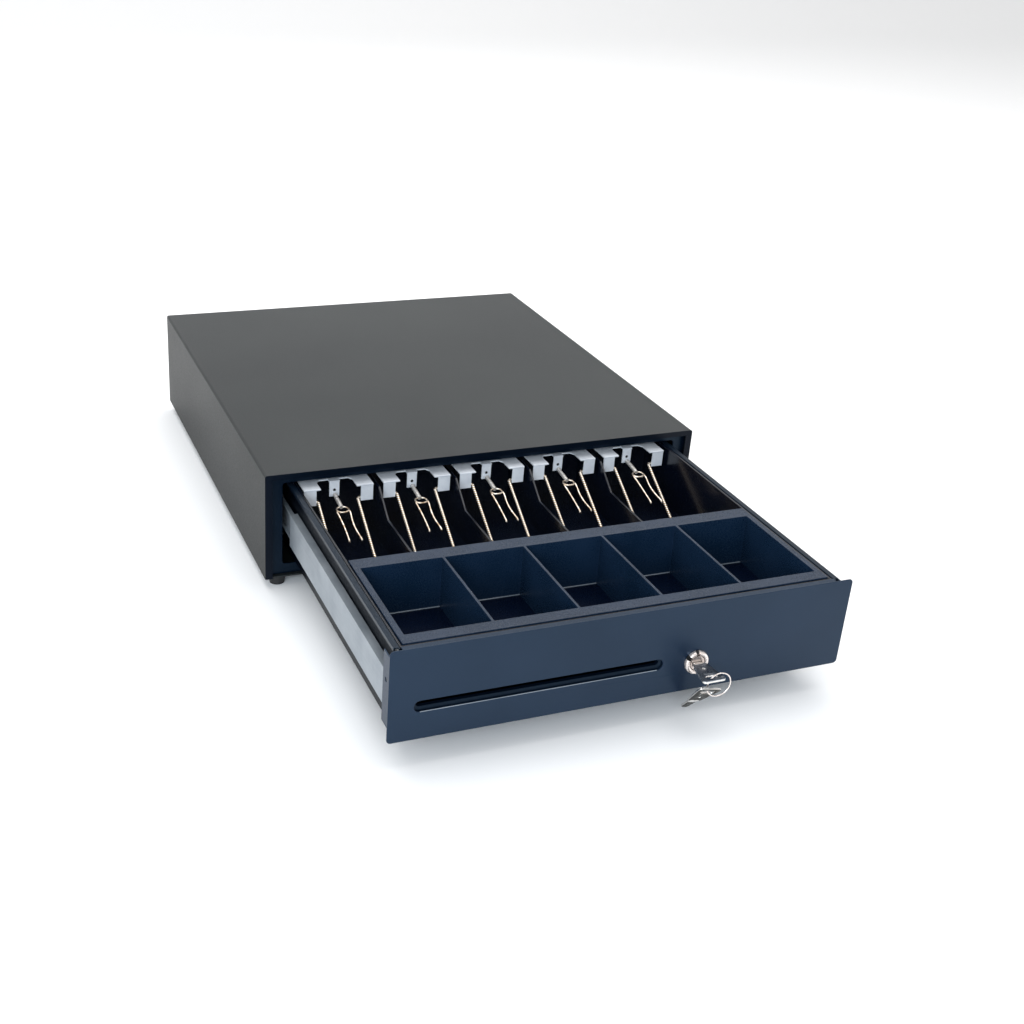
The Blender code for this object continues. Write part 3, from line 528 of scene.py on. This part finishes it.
def clip_hole(number):
    """A dark disc on the clip's middle tab, painted shade standing for the eye that the fork's wire hooks
    through.
    """
    low, high = (Vector(v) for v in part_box(f"note_clip_{number}"))
    centre = Vector(((low.x + high.x) / 2, low.y + 13.4 * MM, high.z - 8.6 * MM))
    mesh = bmesh.new()
    facing = Matrix.Translation(centre) @ Matrix.Rotation(math.radians(90), 4, "X")
    add_plate(mesh, [(1.3 * MM * a, 1.3 * MM * b) for a, b in circle(16)], 0.12 * MM, facing)
    # Painted shade: the eye is a near-black disc, not a hole.
    piece(f"clip_eye_shade_{number}", mesh, (painted_hole_shade, painted_hole_shade), "drawer", 30)


for bay in BAYS:
    bail(bay)
    fork(bay)
    clip_hole(bay)


# ---- mouldings in the till and the coin tray ----------------------------------------------------


def add_block(mesh, low, high):
    """A block between two corners."""
    size = [b - a for a, b in zip(low, high)]
    middle = (Vector(low) + Vector(high)) / 2
    bmesh.ops.create_cube(mesh, size=1, matrix=Matrix.Translation(middle) @ Matrix.Diagonal((*size, 1)))


def till_ribs():
    """The upright ribs on the till's back wall."""
    low, high = (Vector(v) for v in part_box("till_tray"))
    wall_face, floor_z = high.y - TRAY_WALL, low.z + TRAY_WALL
    pitch, count, half = 4.4 * MM, 78, 0.45 * MM
    mesh = bmesh.new()
    for i in range(count):
        x = (i - (count - 1) / 2) * pitch
        if abs(x) > high.x - 4 * MM:
            continue
        foot = (x - half, wall_face - 0.7 * MM, floor_z + 2 * MM)
        head = (x + half, wall_face + 0.2 * MM, floor_z + 44 * MM)
        add_block(mesh, foot, head)
    piece("till_ribs", mesh, till_plastic, "drawer", 30)


def floor_beads(name, pitch, half, corner, inset, radius):
    """A painted highlight: a thin pale tube on the eased corner where each cell's back wall meets its floor.
    corner is its y and z.
    """
    y, z = corner[0] - inset, corner[1] + inset
    mesh = bmesh.new()
    for bay in BAYS:
        x = (bay - MIDDLE_BAY) * pitch
        add_tube(mesh, [(x - half, y, z), (x + half, y, z)], radius, 8)
    # Painted highlight: the beads take the pale plastic.
    piece(name, mesh, painted_edge_highlight, "drawer", 50)


def note_beads():
    """The painted highlight along the foot of the till's back wall, a pale bead for each note bay."""
    low, high = (Vector(v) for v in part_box("till_tray"))
    corner = (high.y - TRAY_WALL, low.z + TRAY_WALL)
    floor_beads("till_floor_highlight_bead", NOTE_PITCH, 33.5 * MM, corner, 0.4 * MM, 0.6 * MM)


def coin_beads():
    """The painted highlight bead at the back of each coin cell, whose wall slopes down from the tray's wide
    rim.
    """
    low, high = (Vector(v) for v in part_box("coin_tray"))
    rim, wall_slope = 14.1 * MM, 3.5 * MM
    corner = (high.y - rim - wall_slope, low.z + TRAY_WALL)
    floor_beads("coin_cell_highlight_beads", COIN_PITCH, 32 * MM, corner, 0.25 * MM, 0.55 * MM)


def slot_liner():
    """The cash slot's throat in painted shade, stepped in behind the panel, and a painted highlight on its
    lower lip.
    """
    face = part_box("drawer_front")[0][1]
    middle_x, half_x, half_h = (SLOT_LEFT + SLOT_RIGHT) / 2, (SLOT_RIGHT - SLOT_LEFT) / 2, SLOT_H / 2
    depth_inset_rise = ((1.25, 0, 0), (2.6, 0.5, 0), (3.4, 2.4, 0.3), (6.5, 2.6, 0.3), (6.5, 1.2, 0.3))
    mesh = bmesh.new()
    loops = []
    for depth, inset, rise in depth_inset_rise:
        outline = oval(middle_x, SLOT_Z + rise * MM, half_x - inset * MM, half_h - inset * MM)
        loops.append([mesh.verts.new((x, face + depth * MM, up)) for x, up in outline])
    for near, far in zip(loops, loops[1:]):
        for k in range(len(near)):
            m = (k + 1) % len(near)
            mesh.faces.new((near[k], near[m], far[m], far[k]))
    # Painted shade: the throat takes the darker frame paint, not the panel's.
    piece("slot_throat", mesh, frame_paint, "drawer", 40)

    # Painted highlight: a pale tube along the edge of the lower lip.
    start, end = SLOT_LEFT + half_h, SLOT_RIGHT - half_h
    y, z = face + 0.28 * MM, SLOT_Z - half_h + 0.12 * MM
    steps = 20
    lip_path = [(start + (end - start) * i / steps, y, z) for i in range(steps + 1)]
    lip = add_tube(bmesh.new(), lip_path, 0.35 * MM, 8)
    piece("slot_lip_highlight", lip, painted_edge_highlight, "drawer", 50)


till_ribs()
note_beads()
coin_beads()
slot_liner()


# ---- the lock's face ----------------------------------------------------------------------------


def lock_face():
    """The lock's turned bezel, domed and with two notches whose floors are in painted shade, and the barrel
    behind it.
    """
    low, high = (Vector(v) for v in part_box("lock_housing"))
    proud = 3.6
    cx, cz, face = (low.x + high.x) / 2, (low.z + high.z) / 2, low.y + proud * MM
    inner, barrel, bezel, barrel_end = 6.35, 9, 10, 16.4
    dome = ((-1.6, inner), (-2.9, 6.6), (-3.35, 7.2), (-proud, 8.0), (-3.45, 8.9), (-2.8, 9.6), (-1.8, 9.95))
    tail = ((-0.35, bezel), (-0.35, barrel), (barrel_end, barrel), (barrel_end, inner))
    notches, half_notch, notch_floor = (92, 146), 9, -1.0
    sides = 90
    mesh = bmesh.new()
    rings = []
    for along, radius in (*dome, *tail):
        ring = []
        for k in range(sides):
            degrees = 360 * k / sides
            cut = any(abs(degrees - middle) < half_notch for middle in notches) and radius < bezel
            y = face + (max(along, notch_floor) if cut else along) * MM
            across, up = math.cos(math.radians(degrees)), math.sin(math.radians(degrees))
            ring.append(mesh.verts.new((cx + radius * MM * across, y, cz + radius * MM * up)))
        rings.append(ring)
    for first, second in zip(rings, rings[1:] + rings[:1]):
        for k in range(sides):
            m = (k + 1) % sides
            made = mesh.faces.new((first[k], first[m], second[m], second[k]))
            in_notch = any(abs(360 * (k + 0.5) / sides - middle) < half_notch for middle in notches)
            # Painted shade: the notch floors take the near-black finish.
            made.material_index = int(in_notch and all(vert.co.y < face + 0.1 * MM for vert in made.verts))
    bmesh.ops.recalc_face_normals(mesh, faces=mesh.faces)
    piece("lock_bezel", mesh, (chrome, painted_hole_shade), "drawer", 40, ["lock_housing"])


lock_face()


# ---- keys and ring ------------------------------------------------------------------------------


def key_blank(name, place, slot_half_y, body, stands_for, face):
    """A key: its bow with a long slot, a round hole and a pressed oval, and its cut blade with a ridge.

    Its slot's middle is at the place, and the blade points along the place's Y.
    """
    bow_end = [(0, 0), (7.6, 0), (8.6, 0.4), (9.3, 1.2), (9.6, 2.4), (9.3, 5)]
    bow = bow_end + [(6.2, 22), (6, 23.6), (5.4, 24.4), (3.8, 24.6)]
    cuts = [(3.8, 27.5), (3, 29), (3, 29.8), (3.7, 31.5), (2.8, 33.5), (2.8, 34.3), (3.4, 36)]
    cut_edge = cuts + [(2.4, 38.4), (1.4, 39.4)]
    plain_edge = [(-a, b) for a, b in bow[1:]] + [(-3.8, 30), (-3.8, 36.5), (-2.6, 38.7), (-1.4, 39.4)]
    outline = [(a * MM, b * MM - BOW_SLOT) for a, b in bow + cut_edge + plain_edge[::-1]]
    hole = [(1.2 * MM * x, 1.2 * MM * y + 17 * MM - BOW_SLOT) for x, y in circle(14)]
    slot = oval(0, 0, slot_half_y + 3 * MM, slot_half_y)
    mesh = bmesh.new()
    add_plate(mesh, outline, 1.7 * MM, place, 0.3 * MM, [slot, hole])
    ridge = [(b, a + 31 * MM - BOW_SLOT) for a, b in oval(0, 0, 7.5 * MM, 0.6 * MM, 4)]
    add_plate(mesh, ridge, 1.95 * MM, place, 0.1 * MM)
    add_plate(mesh, oval(0, 10.6 * MM - BOW_SLOT, 4.2 * MM, 1.1 * MM, 6), 1.95 * MM, place, 0.1 * MM)
    shoulder_corners = ((-3.7, 23.4), (3.7, 23.4), (3.7, 27.4), (-3.7, 27.4))
    shoulder = [(x * MM, y * MM - BOW_SLOT) for x, y in shoulder_corners]
    first_of_shoulder = len(mesh.faces)
    add_plate(mesh, shoulder, 2.0 * MM, place, 0.2 * MM)
    mesh.faces.ensure_lookup_table()
    for each in mesh.faces[first_of_shoulder:]:
        each.material_index = 1
    piece(name, mesh, (face, key_edge), body, 35, [stands_for])


key_low, key_high = (Vector(v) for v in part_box("key"))
key_middle = (key_low + key_high) / 2
key_place = Matrix.Translation((key_middle.x, key_low.y + BOW_SLOT, key_middle.z))
key_blank("key_blank", key_place, 1.9 * MM, "key", "key", key_face)

ring_low, ring_high = (Vector(v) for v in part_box("key_ring"))
ring_middle = (ring_low + ring_high) / 2
ring_wire = (ring_high.y - ring_low.y) / 2
ring_radius = (ring_high.x - ring_low.x) / 2 - ring_wire
ring_points = [ring_middle + Vector((x, 0, y)) * ring_radius for x, y in circle(64)]
ring_mesh = add_tube(bmesh.new(), ring_points, ring_wire * 0.95, 10, closed=True)
piece("split_ring", ring_mesh, chrome, "key_ring", 60, ["key_ring"])

spare_hole = ring_middle + Vector((math.cos(SPARE_PLACE), 0, math.sin(SPARE_PLACE))) * ring_radius
spare_turn = Matrix.Rotation(SPARE_TURN, 4, "Z") @ Matrix.Rotation(-SPARE_SLOPE, 4, "X")
spare_turn = spare_turn @ Matrix.Rotation(SPARE_ROLL, 4, "Y")
spare_place = Matrix.Translation(spare_hole) @ spare_turn
key_blank("spare_key_blank", spare_place, 2.8 * MM, "spare_key", "spare_key", spare_face)


# ---- room, light and camera ---------------------------------------------------------------------


def floor():
    """A pale floor just under the feet, which curves up into a wall at the back of the room."""
    mesh = bmesh.new()
    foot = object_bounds()[0][2] - 0.3 * MM
    size, rise, steps, wall_top = 6.0, 1.2, 12, 4
    rows = [(-size, 0), (size * 0.5, 0)]
    for step in range(1, steps + 1):
        angle = math.radians(90) * step / steps
        rows.append((size * 0.5 + rise * math.sin(angle), rise * (1 - math.cos(angle))))
    rows.append((size * 0.5 + rise, wall_top))
    lines = [[mesh.verts.new((x, y, foot + z)) for x in (-size, size)] for y, z in rows]
    for near, far in zip(lines, lines[1:]):
        mesh.faces.new((near[0], near[1], far[1], far[0]))
    made = meshed("studio_floor", mesh)
    white = bpy.data.materials.new("studio_white")
    white.use_nodes = True
    shader = white.node_tree.nodes["Principled BSDF"]
    shader.inputs["Base Color"].default_value = (0.93, 0.93, 0.93, 1)
    shader.inputs["Roughness"].default_value = 0.9
    made.data.materials.append(white)


def area_light(name, spot, target, size, watts, colour=(1, 1, 1)):
    """A soft light of this width and height in metres, at the spot and aimed at the target."""
    lamp = bpy.data.lights.new(name, "AREA")
    lamp.shape, lamp.size, lamp.size_y = "RECTANGLE", *size
    lamp.energy, lamp.color = watts, colour
    made = added(name, lamp)
    made.location = spot
    made.rotation_euler = (Vector(target) - Vector(spot)).to_track_quat("-Z", "Y").to_euler()


floor()
area_light("overhead", (0.2, 0.6, 2.6), (0, -0.1, 0), (3.4, 3.0), 70)
area_light("front_fill", (-1.3, -2.4, 1.1), (-0.1, -0.3, 0), (2.2, 1.2), 46, (0.78, 0.89, 1))
area_light("left_wall", (-2.6, 0.3, 0.9), (0, 0, 0), (2.4, 1.4), 6)

world = bpy.data.worlds.new("studio")
world.use_nodes = True
world.node_tree.nodes["Background"].inputs["Color"].default_value = (1, 1, 1, 1)
world.node_tree.nodes["Background"].inputs["Strength"].default_value = 0.75
bpy.context.scene.world = world
bpy.context.scene.view_settings.view_transform = "Standard"

camera_data = bpy.data.cameras.new("camera")
camera_data.sensor_width = 36
camera_data.lens = 48.70
camera_data.shift_x, camera_data.shift_y = 0.0584, -0.0017
camera_data.clip_start, camera_data.clip_end = 0.01, 50
camera = added("camera", camera_data)
camera.location = (-0.46579, -1.23498, 0.59463)
camera.rotation_euler = [math.radians(angle) for angle in (63.6375, -3.2206, -21.2996)]
bpy.context.scene.camera = camera
